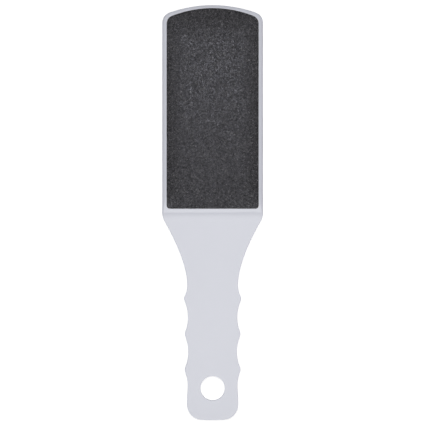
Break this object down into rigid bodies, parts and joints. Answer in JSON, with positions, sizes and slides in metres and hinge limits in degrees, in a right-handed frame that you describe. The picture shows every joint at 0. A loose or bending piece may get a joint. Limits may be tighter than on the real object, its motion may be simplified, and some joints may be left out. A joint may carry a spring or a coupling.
{
  "type": "foot file",
  "caption": "Flat hand-held foot file: white moulded paddle with a coated abrasive sheet on each face of its head and a finger-grooved handle with a hanging hole.",
  "frame": {"origin": "middle of the object's box at its base, on the surface that the back sheet rests on", "axes": "+Y along the file towards the top of the head, +Z out of the front face, +X to the right as seen from the front with the head up; X = 0 is the plane of symmetry"},
  "size_m": [0.062, 0.255, 0.0069],
  "materials": {
    "moulded_plastic": "fine satin moulding, cool white-grey",
    "coarse_grit": "coarse charcoal abrasive grains in resin",
    "fine_grit": "finer charcoal abrasive grains in resin",
    "backing_paper": "plain brown latex paper",
    "adhesive": "clear yellowish pressure-sensitive film"
  },
  "bodies": {
    "root": {"paddle": "moulded_plastic", "front_glue_film": "adhesive", "front_paper_backing": "backing_paper", "front_grit_coat": "coarse_grit", "back_glue_film": "adhesive", "back_paper_backing": "backing_paper", "back_grit_coat": "fine_grit"}
  },
  "joints": []
}
